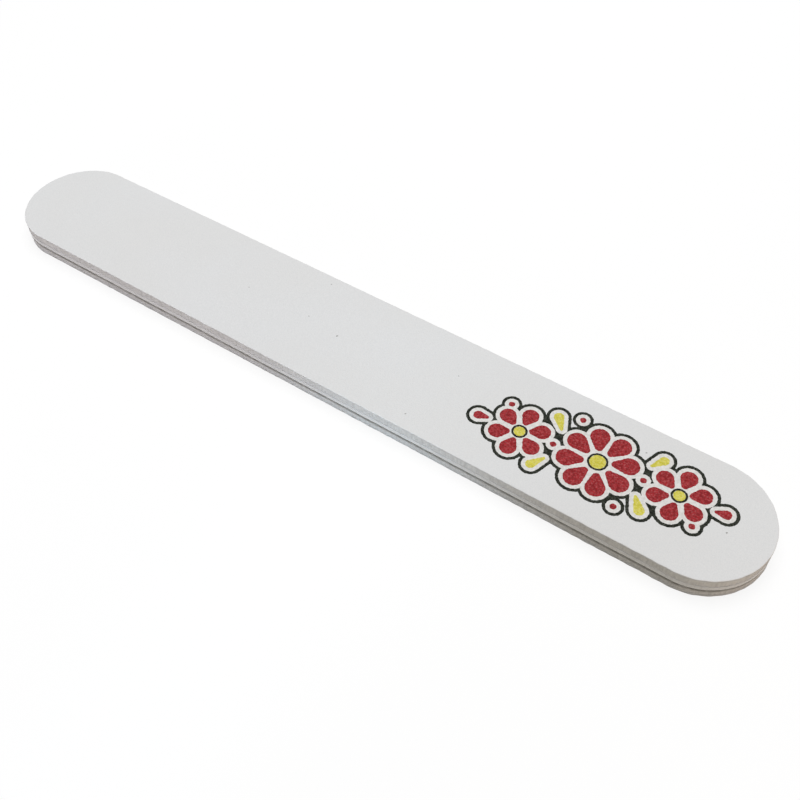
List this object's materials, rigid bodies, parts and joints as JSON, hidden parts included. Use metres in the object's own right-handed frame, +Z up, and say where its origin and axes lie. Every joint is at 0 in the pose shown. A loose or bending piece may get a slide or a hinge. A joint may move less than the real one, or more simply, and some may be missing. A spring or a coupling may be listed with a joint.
{
  "type": "nail file",
  "caption": "Straight cushion nail file with full round ends: abrasive sheets and foam pads glued on both sides of a stiff core board.",
  "frame": {"origin": "middle of the bottom face, which the file rests on", "axes": "+X along the file's length towards its decorated end, +Y across its width, +Z up through its thickness"},
  "size_m": [0.178, 0.0254, 0.0051],
  "materials": {
    "abrasive_sheet": "matt white abrasive grain on paper backing",
    "foam": "matt white closed-cell foam, die cut",
    "core": "satin white polystyrene board",
    "adhesive": "thin adhesive film, dark with dust where a seam is open"
  },
  "bodies": {
    "root": {"bottom_abrasive_sheet": "abrasive_sheet", "bottom_sheet_adhesive": "adhesive", "lower_foam_pad": "foam", "lower_core_adhesive": "adhesive", "core_board": "core", "upper_core_adhesive": "adhesive", "upper_foam_pad": "foam", "top_sheet_adhesive": "adhesive", "top_abrasive_sheet": "abrasive_sheet"}
  },
  "joints": []
}
